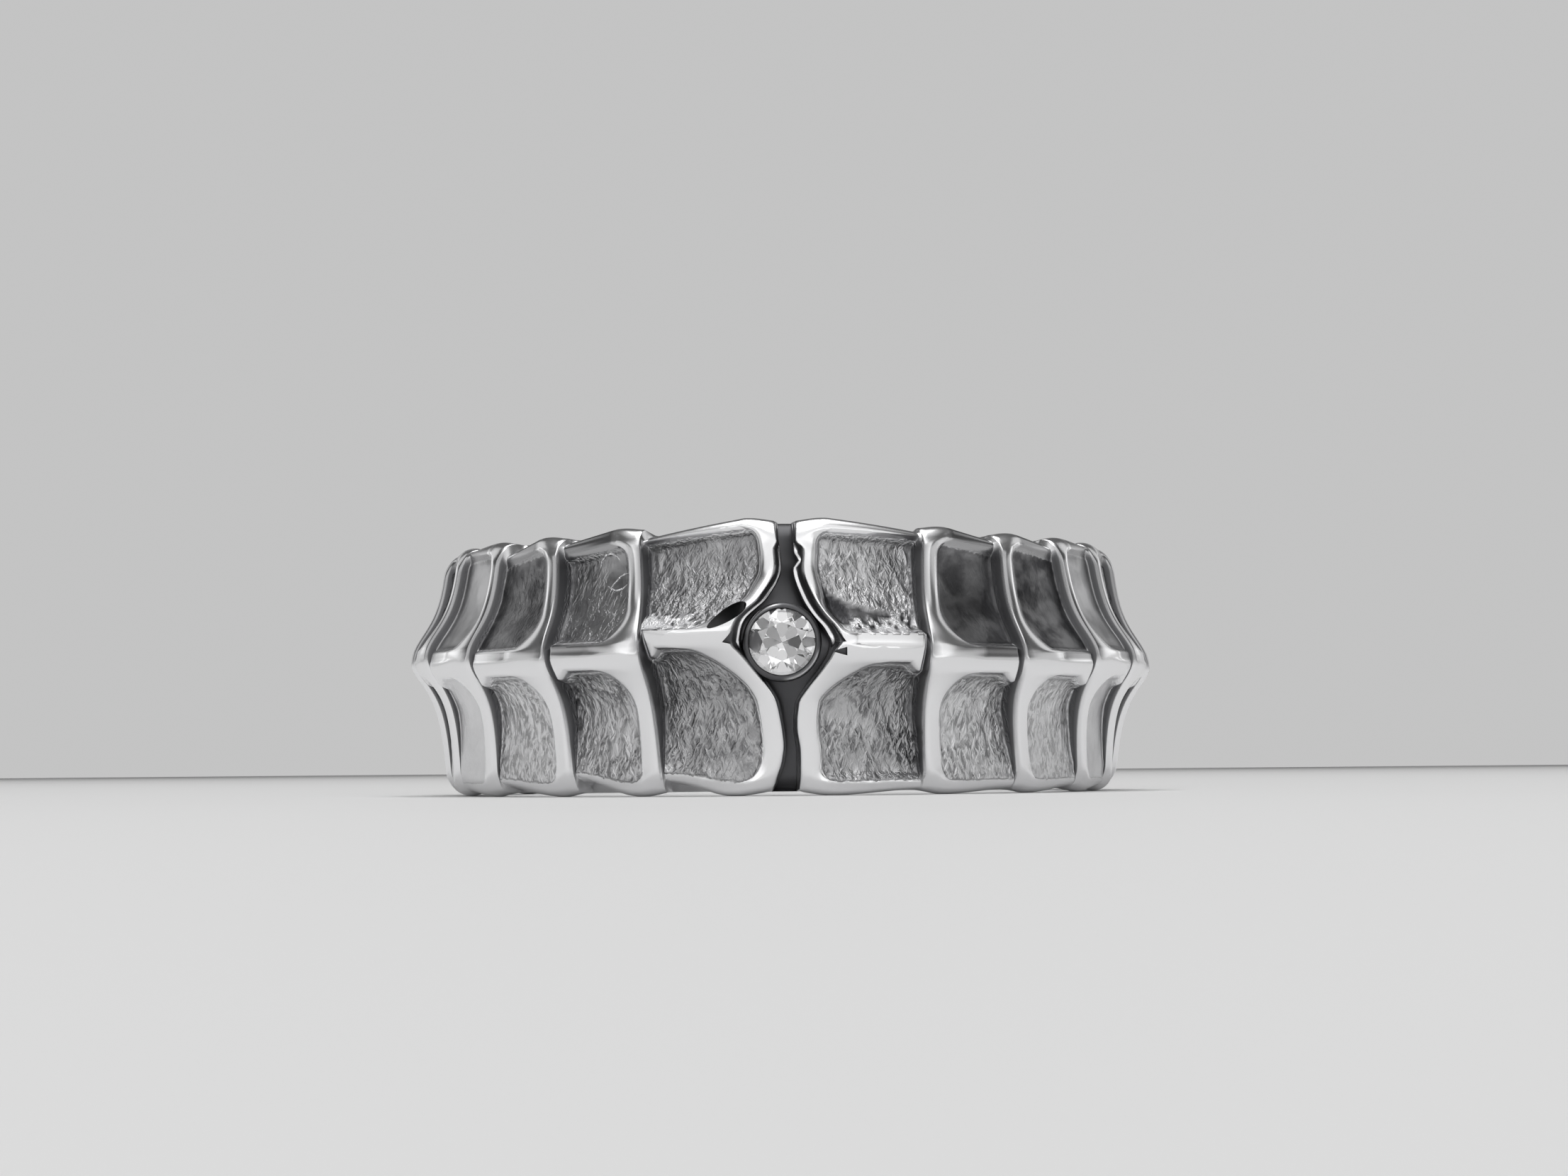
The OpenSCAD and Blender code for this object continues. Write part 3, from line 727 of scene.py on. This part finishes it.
# Room for the stone: a cone under its pavilion, a ring at its girdle, a smaller way out
def seatMesh():
    s, r = seatSettings, sizes["stoneR"]
    deep = sizes["pavilionH"] + 2 * s["gap"]
    wall, lip, half = r + s["gap"], r - s["lip"], sizes["girdleH"] / 2
    profile = [
        (0.06, -deep), (wall, -half - s["gap"]), (wall, half + s["gap"]), (lip, half + 0.07),
        (lip, s["collarHeight"] - 0.04), (lip + 0.04, s["collarHeight"] + 0.01), (lip + 0.04, 2),
    ]
    # The seat's faces are dark all over: patina and painted shade round the stone
    return latheMesh("seat", [(radius, height, 1) for radius, height in profile], s["turns"])


# A prism from an outline in the front view (x, height), dark all over: patina and painted shade in the
# hollow that it cuts. Each of its sections has a depth y, and is moved by a step in x and in height.
def prismMesh(name, x, z, sections):
    points = np.stack([np.stack([x + moveX, 0 * x + y, z + moveZ], -1) for y, moveX, moveZ in sections])
    return tubeMesh(name, points, "dark", False)


slotSettings = {
    "middle": (-1.46, 4.99),  # x and height
    "length": 1.3,
    "width": 0.36,
    "taper": 0.25,  # how much narrower its low end is
    "rise": 32,  # degrees
    "sections": [(-12.7, 0, 0), (-10.6, -0.04, 0.1), (-7.5, -0.4, -1.9)],  # y, steps in x and height
}


# The pierced slot: an ellipse, narrower at its low end, carried in to the finger hole by a bent tunnel
def slotMesh():
    s = slotSettings
    turn = np.radians(np.arange(32) * 360 / 32)
    u = s["length"] / 2 * np.cos(turn)
    v = s["width"] / 2 * np.sin(turn) * (1 + s["taper"] * np.cos(turn))
    rise = math.radians(s["rise"])
    x = s["middle"][0] + u * math.cos(rise) - v * math.sin(rise)
    z = s["middle"][1] + u * math.sin(rise) + v * math.cos(rise)
    return prismMesh("slot", x, z, s["sections"])


# Small cuts beside the bay, in the front view: how deep, then the corners (x, height)
dimpleRows = [
    (0.16, [(-1.62, 4.3), (-1.2, 4.21), (-1.14, 4.82)]),
    (0.16, [(1.46, 4.84), (1.49, 4.24), (1.86, 4.29)]),
    (0.12, [(1.44, 4.02), (1.88, 3.9), (1.88, 4.14)]),
]


# A dimple: a prism whose floor lies a set depth under the rims' surface at each corner
def dimpleMesh(depth, corners):
    x, z = np.array(corners, float).T
    keel = np.where(x < 0, plateRows[left][0][3], plateRows[right][0][3])
    floor = -np.sqrt((envelope(z - keel) - depth) ** 2 - x * x)
    return prismMesh("dimple", x, z, [(floor - 2, 0, 0), (floor, 0, 0)])


# A curl of raised metal in the second plate on the left, as bent lines in the front view (x, height)
curlRows = [
    [(-5.16, 6.58), (-5.12, 6.78), (-5.0, 6.94), (-4.84, 6.98), (-4.66, 6.9), (-4.58, 6.78)],
    [(-4.86, 5.96), (-4.74, 6.12), (-4.56, 6.3), (-4.42, 6.38), (-4.3, 6.36)],
    [(-4.94, 6.06), (-4.84, 5.96), (-4.68, 5.9), (-4.5, 5.94), (-4.36, 6.06)],
]
curlR = 0.035


# An eight-sided bar along such a line, on the band's surface. Its radius is a sine along the line.
def curlMesh(piece, line):
    x, z = np.array(line, float).T
    hits = [piece.ray_cast(Vector((px, -20, pz)) * mm, Vector((0, 1, 0))) for px, pz in line]
    y = np.array([hit[1].y for hit in hits]) / mm
    along = np.gradient(x), np.gradient(z)
    across = np.stack([along[1], -along[0]], -1) / np.hypot(*along)[:, None]
    turn = np.radians(np.arange(8) * 45)
    thick = curlR * np.sin(np.linspace(0.15, math.pi - 0.15, len(x)))[:, None]
    ringX = x[:, None] + across[:, :1] * thick * np.cos(turn)
    ringZ = z[:, None] + across[:, 1:] * thick * np.cos(turn)
    ringY = y[:, None] + thick * np.sin(turn)
    return tubeMesh("curl", np.stack([ringX, ringY, ringZ], -1), "spark", True)


# Joins or cuts one closed mesh with another, and keeps only the result
def carve(piece, mesh, operation):
    fix = bmesh.new()
    fix.from_mesh(mesh)
    bmesh.ops.recalc_face_normals(fix, faces=fix.faces)
    fix.to_mesh(mesh)
    fix.free()
    tool = newObject("tool", mesh)
    step = piece.modifiers.new("step", "BOOLEAN")
    step.solver = "MANIFOLD"
    step.operation = operation
    step.object = tool
    bpy.context.view_layer.update()
    result = bpy.data.meshes.new_from_object(piece.evaluated_get(bpy.context.evaluated_depsgraph_get()))
    piece.modifiers.remove(step)
    piece.data = result
    bpy.data.objects.remove(tool)


# The band's grid with its marks and bark, joined with the collar and the curl and cut by the rest
def makeBand():
    grid = addMarks(closedSection(bandGrid()))
    angle = np.radians(grid["angle"])
    strokes = barkHeight(angle * sizes["keelR"], grid["z"])
    r = grid["r"] + bandSettings["barkDepth"] * grid["panel"] * grid["bark"] * strokes
    points = np.stack([r * np.sin(angle), -r * np.cos(angle), grid["z"]], -1)
    index = np.arange(r.size).reshape(r.shape)
    faces = loopFaces(index, np.roll(index, -1, 0))
    layers = {key: grid[key] for key in bandLayers}
    band = newObject("castBand", newMesh("castBand", points, faces, layers, True))
    carve(band, collarMesh(), "UNION")
    carve(band, seatMesh(), "DIFFERENCE")
    carve(band, slotMesh(), "DIFFERENCE")
    for row in dimpleRows:
        carve(band, dimpleMesh(*row), "DIFFERENCE")
    for line in curlRows:
        carve(band, curlMesh(band, line), "UNION")
    band.data.set_sharp_from_angle(angle=math.radians(bandSettings["sharpAngle"]))
    return band


band = makeBand()
triangles = sum(len(face.vertices) - 2 for face in band.data.polygons)
print("band:", len(band.data.polygons), "faces,", triangles, "triangles")


# Materials

# Sets a socket to a plain number or colour, or links another node's output to it
def feed(socket, value):
    if isinstance(value, bpy.types.NodeSocket):
        socket.id_data.links.new(value, socket)
    else:
        socket.default_value = value


def newMaterial(name):
    material = bpy.data.materials.new(name)
    material.use_nodes = True
    return material, material.node_tree, material.node_tree.nodes["Principled BSDF"]


# Makes a node with its settings, feeds its sockets, and returns its outputs
def newNode(tree, kind, sockets, **settings):
    node = tree.nodes.new("ShaderNode" + kind)
    for key, value in settings.items():
        setattr(node, key, value)
    for key, value in sockets.items():
        feed(node.inputs[key], value)
    return node.outputs


def layer(tree, name):
    return newNode(tree, "Attribute", {}, attribute_name=name)["Fac"]


# Object coordinates in millimetres, turned by degrees in the front view and then squashed upright
def inMillimetres(tree, squash=1.0, turn=0.0):
    place = newNode(tree, "TexCoord", {})["Object"]
    sockets = {"Vector": place, "Rotation": (0, math.radians(turn), 0), "Scale": (mm, mm, mm / squash)}
    return newNode(tree, "Mapping", sockets, vector_type="TEXTURE")["Vector"]


def noise(vector, scale, detail, distortion):
    sockets = {"Vector": vector, "Scale": scale, "Detail": detail, "Distortion": distortion}
    return newNode(vector.id_data, "TexNoise", sockets)["Fac"]


# The operation on the first two values, then on its result and the next value
def maths(operation, first, *others):
    for other in others:
        first = newNode(first.id_data, "Math", {0: first, 1: other}, operation=operation)[0]
    return first


def ranged(value, low, high, toLow=0.0, toHigh=1.0, curve="SMOOTHSTEP"):
    sockets = dict(enumerate((value, low, high, toLow, toHigh)))
    return newNode(value.id_data, "MapRange", sockets, interpolation_type=curve)["Result"]


def mixColour(share, first, second):
    return newNode(share.id_data, "Mix", {0: share, 6: first, 7: second}, data_type="RGBA")[2]


silverSettings = {
    "polished": (0.9, 0.9, 0.91, 1),
    # This dark colour serves both tarnish and painted shade
    "tarnished": (0.06, 0.06, 0.064, 1),
    "darkShare": 0.95,  # how dark the dark layer makes the surface: patina and painted shade on the walls, the bay and the cuts, painted shade on the rims and between the lumps
    "rimRoughness": 0.24,
    "panelRoughness": 0.34,
    "darkRoughness": 0.42,
    "lumpRoughness": 0.1,  # added on the lumps above the keel
    "strokeSquash": 0.28,  # strokes are this much shorter across than along
    "strokeTurns": (24, -20),  # degrees
    "fray": (0.55, 0.9),  # strokes above the first fray a panel's edge, by the second
    "panelEdge": (0.28, 0.72),
    # Noises: cells in a millimetre, detail, distortion
    "strokes": ((9, 3, 0.35), (7.65, 3, 0.35)),
    "patches": (1.1, 2, 0.3),
    "blotches": (1.3, 3, 0.3),
    "lumps": (8, 2, 0.8),
    "swell": (1.6, 1, 0),
    # Their ranges, and what these become
    "patchRange": (0.36, 0.56, 0.6, 1),
    "hollowRange": (0.46, 0.66, 0.8, 0),
    "blotchRange": (0.35, 0.65, 0.78, 1),
    "swellSquash": 0.6,
    "swellDepth": 0.03,  # of the bump below
    "bumpDepth": 0.13,  # millimetres
}


# Two layers of slanting strokes, one over the other
def barkStrokes(tree):
    s = silverSettings
    both = [noise(inMillimetres(tree, s["strokeSquash"], turn), *form)
            for turn, form in zip(s["strokeTurns"], s["strokes"])]
    return maths("MAXIMUM", *both)


# Polished silver on the rims. The panels are bark-like, with tarnish in their hollows, the walls and the
# bay are dark with patina and painted shade, the rims carry painted dark reflections in places, and the
# lumps above the keel are bright again.
def makeSilver():
    s = silverSettings
    material, tree, shader = newMaterial("castSilver")
    feed(shader.inputs["Metallic"], 1)
    panel, dark, bark, tarnish, spark = (layer(tree, name) for name in bandLayers)
    patches, blotches, lumps = (noise(inMillimetres(tree), *s[name])
                                for name in ("patches", "blotches", "lumps"))
    strokes = barkStrokes(tree)
    middle, reach = s["fray"]
    frayed = maths("MULTIPLY", maths("SUBTRACT", strokes, middle), reach)
    inPanel = ranged(maths("ADD", frayed, panel), *s["panelEdge"])
    grain = maths("MULTIPLY", inPanel, bark, ranged(patches, *s["patchRange"]))
    hollow = maths("MULTIPLY", grain, ranged(strokes, *s["hollowRange"]))
    stain = maths("MULTIPLY", inPanel, tarnish, ranged(blotches, *s["blotchRange"]))
    share = maths("MAXIMUM", hollow, stain, maths("MULTIPLY", dark, s["darkShare"]))
    share = maths("MAXIMUM", maths("SUBTRACT", share, spark), 0)
    feed(shader.inputs["Base Color"], mixColour(share, s["polished"], s["tarnished"]))
    rough = maths("MAXIMUM", ranged(panel, 0, 1, s["rimRoughness"], s["panelRoughness"]),
                  maths("MULTIPLY", dark, s["darkRoughness"]))
    feed(shader.inputs["Roughness"], maths("ADD", rough, maths("MULTIPLY", spark, s["lumpRoughness"])))
    swell = maths("MULTIPLY", noise(inMillimetres(tree, s["swellSquash"]), *s["swell"]), s["swellDepth"])
    relief = maths("ADD", maths("MULTIPLY", grain, strokes), maths("MULTIPLY", spark, lumps), swell)
    bump = newNode(tree, "Bump", {"Distance": s["bumpDepth"] * mm, "Height": relief})
    feed(shader.inputs["Normal"], bump["Normal"])
    return material


band.data.materials.clear()
band.data.materials.append(makeSilver())
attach(band, "root")
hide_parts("band")


# The stone: a clear round brilliant

stoneSettings = {
    "ior": 2.1,
    "clear": (0.97, 0.97, 0.98, 1),
    "shaded": (0.15, 0.15, 0.155, 1),
    "shades": (0, 0, 0, 0.6, 1),  # how dark a facet's painted reflection is, drawn at random
    "lowerShare": 0.2,  # and how much of it is left in the stone's lower half
    "seed": 8,
    "starDrop": 13,  # star facets: degrees flatter than the crown
    "upperRise": 6.5,  # upper girdle facets: degrees steeper than the crown
    "lowerRise": 1.2,  # lower girdle facets: degrees steeper than the pavilion
}


# Clear, but for facets painted dark and opaque: painted reflections of a dark room
def makeCrystal():
    s = stoneSettings
    material, tree, shader = newMaterial("clearStone")
    shade = layer(tree, "shade")
    feed(shader.inputs["Base Color"], mixColour(shade, s["clear"], s["shaded"]))
    feed(shader.inputs["Roughness"], 0)
    feed(shader.inputs["IOR"], s["ior"])
    feed(shader.inputs["Transmission Weight"], ranged(shade, 0, 1, 1, 0, "LINEAR"))
    return material


# A painted dark reflection for each facet. The girdle's faces and the table have none.
def paintFacetReflections(mesh):
    s = stoneSettings
    count = len(mesh.polygons)
    middle, normal = np.zeros(count * 3), np.zeros(count * 3)
    mesh.polygons.foreach_get("center", middle)
    mesh.polygons.foreach_get("normal", normal)
    depth = normal.reshape(-1, 3)[:, 1]
    height = middle.reshape(-1, 3)[:, 2] / mm - sizes["stoneZ"]
    shade = np.random.default_rng(s["seed"]).choice(s["shades"], count)
    shade = shade * (np.abs(depth) > 0.3) * (depth > -0.99) * np.where(height > 0, 1, s["lowerShare"])
    mesh.attributes.new("shade", "FLOAT", "FACE").data.foreach_set("value", shade.astype(np.float32))


# Each row is one kind of cut: (count, azimuth of the first, slope, radius and height of a point on it)
def stoneCuts():
    s, r, half = stoneSettings, sizes["stoneR"], sizes["girdleH"] / 2
    tableR = cutShares["table"] * r
    tableZ = half + sizes["crownH"]
    crownSlope = math.degrees(math.atan2(sizes["crownH"], r - tableR))
    mainSlope = math.degrees(math.atan2(sizes["pavilionH"], r))
    return [
        (1, 0, 0, 0, tableZ),
        (8, 0, crownSlope, r, half),
        (8, 22.5, crownSlope - s["starDrop"], tableR * math.cos(math.pi / 8), tableZ),
        (16, 11.25, crownSlope + s["upperRise"], r, half),
        (8, 0, -mainSlope, r, -half),
        (16, 11.25, -mainSlope - s["lowerRise"], r, -half),
    ]


# Cuts with one plane through a point on its facet's slope, and closes the cut with a flat face
def cutFacet(cut, azimuth, slope, atR, atZ):
    lean = math.radians(abs(slope))
    up = math.copysign(math.cos(lean), slope) if slope else 1
    outward = (math.cos(azimuth), math.sin(azimuth))
    normal = (math.sin(lean) * outward[0], math.sin(lean) * outward[1], up)
    got = bmesh.ops.bisect_plane(cut, geom=cut.verts[:] + cut.edges[:] + cut.faces[:], dist=1e-5,
                                 plane_co=(atR * outward[0], atR * outward[1], atZ), plane_no=normal,
                                 clear_outer=True)
    edge = [e for e in got["geom_cut"] if isinstance(e, bmesh.types.BMEdge)]
    if edge:
        bmesh.ops.contextual_create(cut, geom=edge)


# A short cylinder cut by planes, as a cutter works
def makeStone():
    cut = bmesh.new()
    r = sizes["stoneR"]
    bmesh.ops.create_cone(cut, cap_ends=True, segments=96, radius1=r, radius2=r, depth=4)
    for count, first, slope, atR, atZ in stoneCuts():
        for n in range(count):
            cutFacet(cut, math.radians(first + 360 * n / count), slope, atR, atZ)
    mesh = bpy.data.meshes.new("brilliant")
    bmesh.ops.recalc_face_normals(cut, faces=cut.faces)
    cut.to_mesh(mesh)
    cut.free()
    points = np.zeros(len(mesh.vertices) * 3)
    mesh.vertices.foreach_get("co", points)
    mesh.vertices.foreach_set("co", (atStone(points.reshape(-1, 3)) * mm).reshape(-1))
    mesh.update()
    paintFacetReflections(mesh)
    return newObject("brilliant", mesh)


stone = makeStone()
stone.data.materials.append(makeCrystal())
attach(stone, "root")
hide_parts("stone")
print("stone:", len(stone.data.polygons), "facets and girdle faces")


# The stage: floor, world, lamps and camera

floorSettings = {
    "half": 1.5,  # metres
    "colour": (0.78, 0.78, 0.78, 1),
    "roughness": 0.7,
}


def makeFloor():
    half = floorSettings["half"]
    mesh = bpy.data.meshes.new("floor")
    corners = [(-half, -half, 0), (half, -half, 0), (half, half, 0), (-half, half, 0)]
    mesh.from_pydata(corners, [], [(0, 1, 2, 3)])
    floor = newObject("floor", mesh)
    material, tree, shader = newMaterial("paleFloor")
    feed(shader.inputs["Base Color"], floorSettings["colour"])
    feed(shader.inputs["Roughness"], floorSettings["roughness"])
    mesh.materials.append(material)


# Brightness of the studio by the sine of the height above the horizon
worldStops = [(0.0, 0.55), (0.26, 0.55), (0.36, 0.08), (0.8, 0.08), (0.95, 0.6)]


def makeWorld():
    world = bpy.data.worlds.new("studio")
    world.use_nodes = True
    bpy.context.scene.world = world
    tree = world.node_tree
    place = newNode(tree, "TexCoord", {})["Generated"]
    ramp = tree.nodes.new("ShaderNodeValToRGB")
    feed(ramp.inputs["Fac"], newNode(tree, "SeparateXYZ", {"Vector": place})["Z"])
    elements = ramp.color_ramp.elements
    for n, (at, level) in enumerate(worldStops):
        element = elements[n] if n < 2 else elements.new(at)
        element.position = at
        element.color = (level, level, level, 1)
    feed(tree.nodes["Background"].inputs["Color"], ramp.outputs["Color"])


# Softboxes: (name, place in metres, width and height, brightness)
softboxes = [
    ("frontSoftbox", (0, -0.45, 0.28), (1.15, 0.5), 0.8),
    ("topSoftbox", (0, -0.065, 0.5), (0.3, 0.7), 2.3),
    ("leftSoftbox", (-0.45, 0.32, 0.28), (0.35, 0.4), 0.6),
    ("rightSoftbox", (0.45, 0.32, 0.28), (0.35, 0.4), 0.6),
]


# A flat lamp that faces the ring. Its power is its brightness times its area times pi.
def makeSoftbox(name, place, size, brightness):
    lamp = bpy.data.lights.new(name, "AREA")
    lamp.shape = "RECTANGLE"
    lamp.size, lamp.size_y = size
    lamp.energy = brightness * size[0] * size[1] * math.pi
    lampObject = newObject(name, lamp)
    lampObject.location = place
    lampObject.rotation_euler = (-Vector(place)).to_track_quat("-Z", "Y").to_euler()
    lampObject.visible_camera = False


cameraSettings = {
    "distance": 94.0,  # millimetres from the ring's axis
    "height": 0.72,  # above the floor
    "side": 0.083,
    "pitch": 3.52,  # degrees up
    "roll": 0.5,  # degrees clockwise
    "lens": 68.0,
}


def makeCamera():
    c = cameraSettings
    camera = bpy.data.cameras.new("camera")
    camera.lens = c["lens"]
    camera.sensor_width = 36
    camera.clip_start = 0.002
    camera.clip_end = 20
    cameraObject = newObject("camera", camera)
    cameraObject.location = (c["side"] * mm, -c["distance"] * mm, c["height"] * mm)
    cameraObject.rotation_euler = (math.radians(90 + c["pitch"]), math.radians(c["roll"]), 0)
    bpy.context.scene.camera = cameraObject


makeFloor()
makeWorld()
for row in softboxes:
    makeSoftbox(*row)
makeCamera()
bpy.context.scene.view_settings.view_transform = "Standard"
print("stage: floor, studio,", len(softboxes), "softboxes and camera")
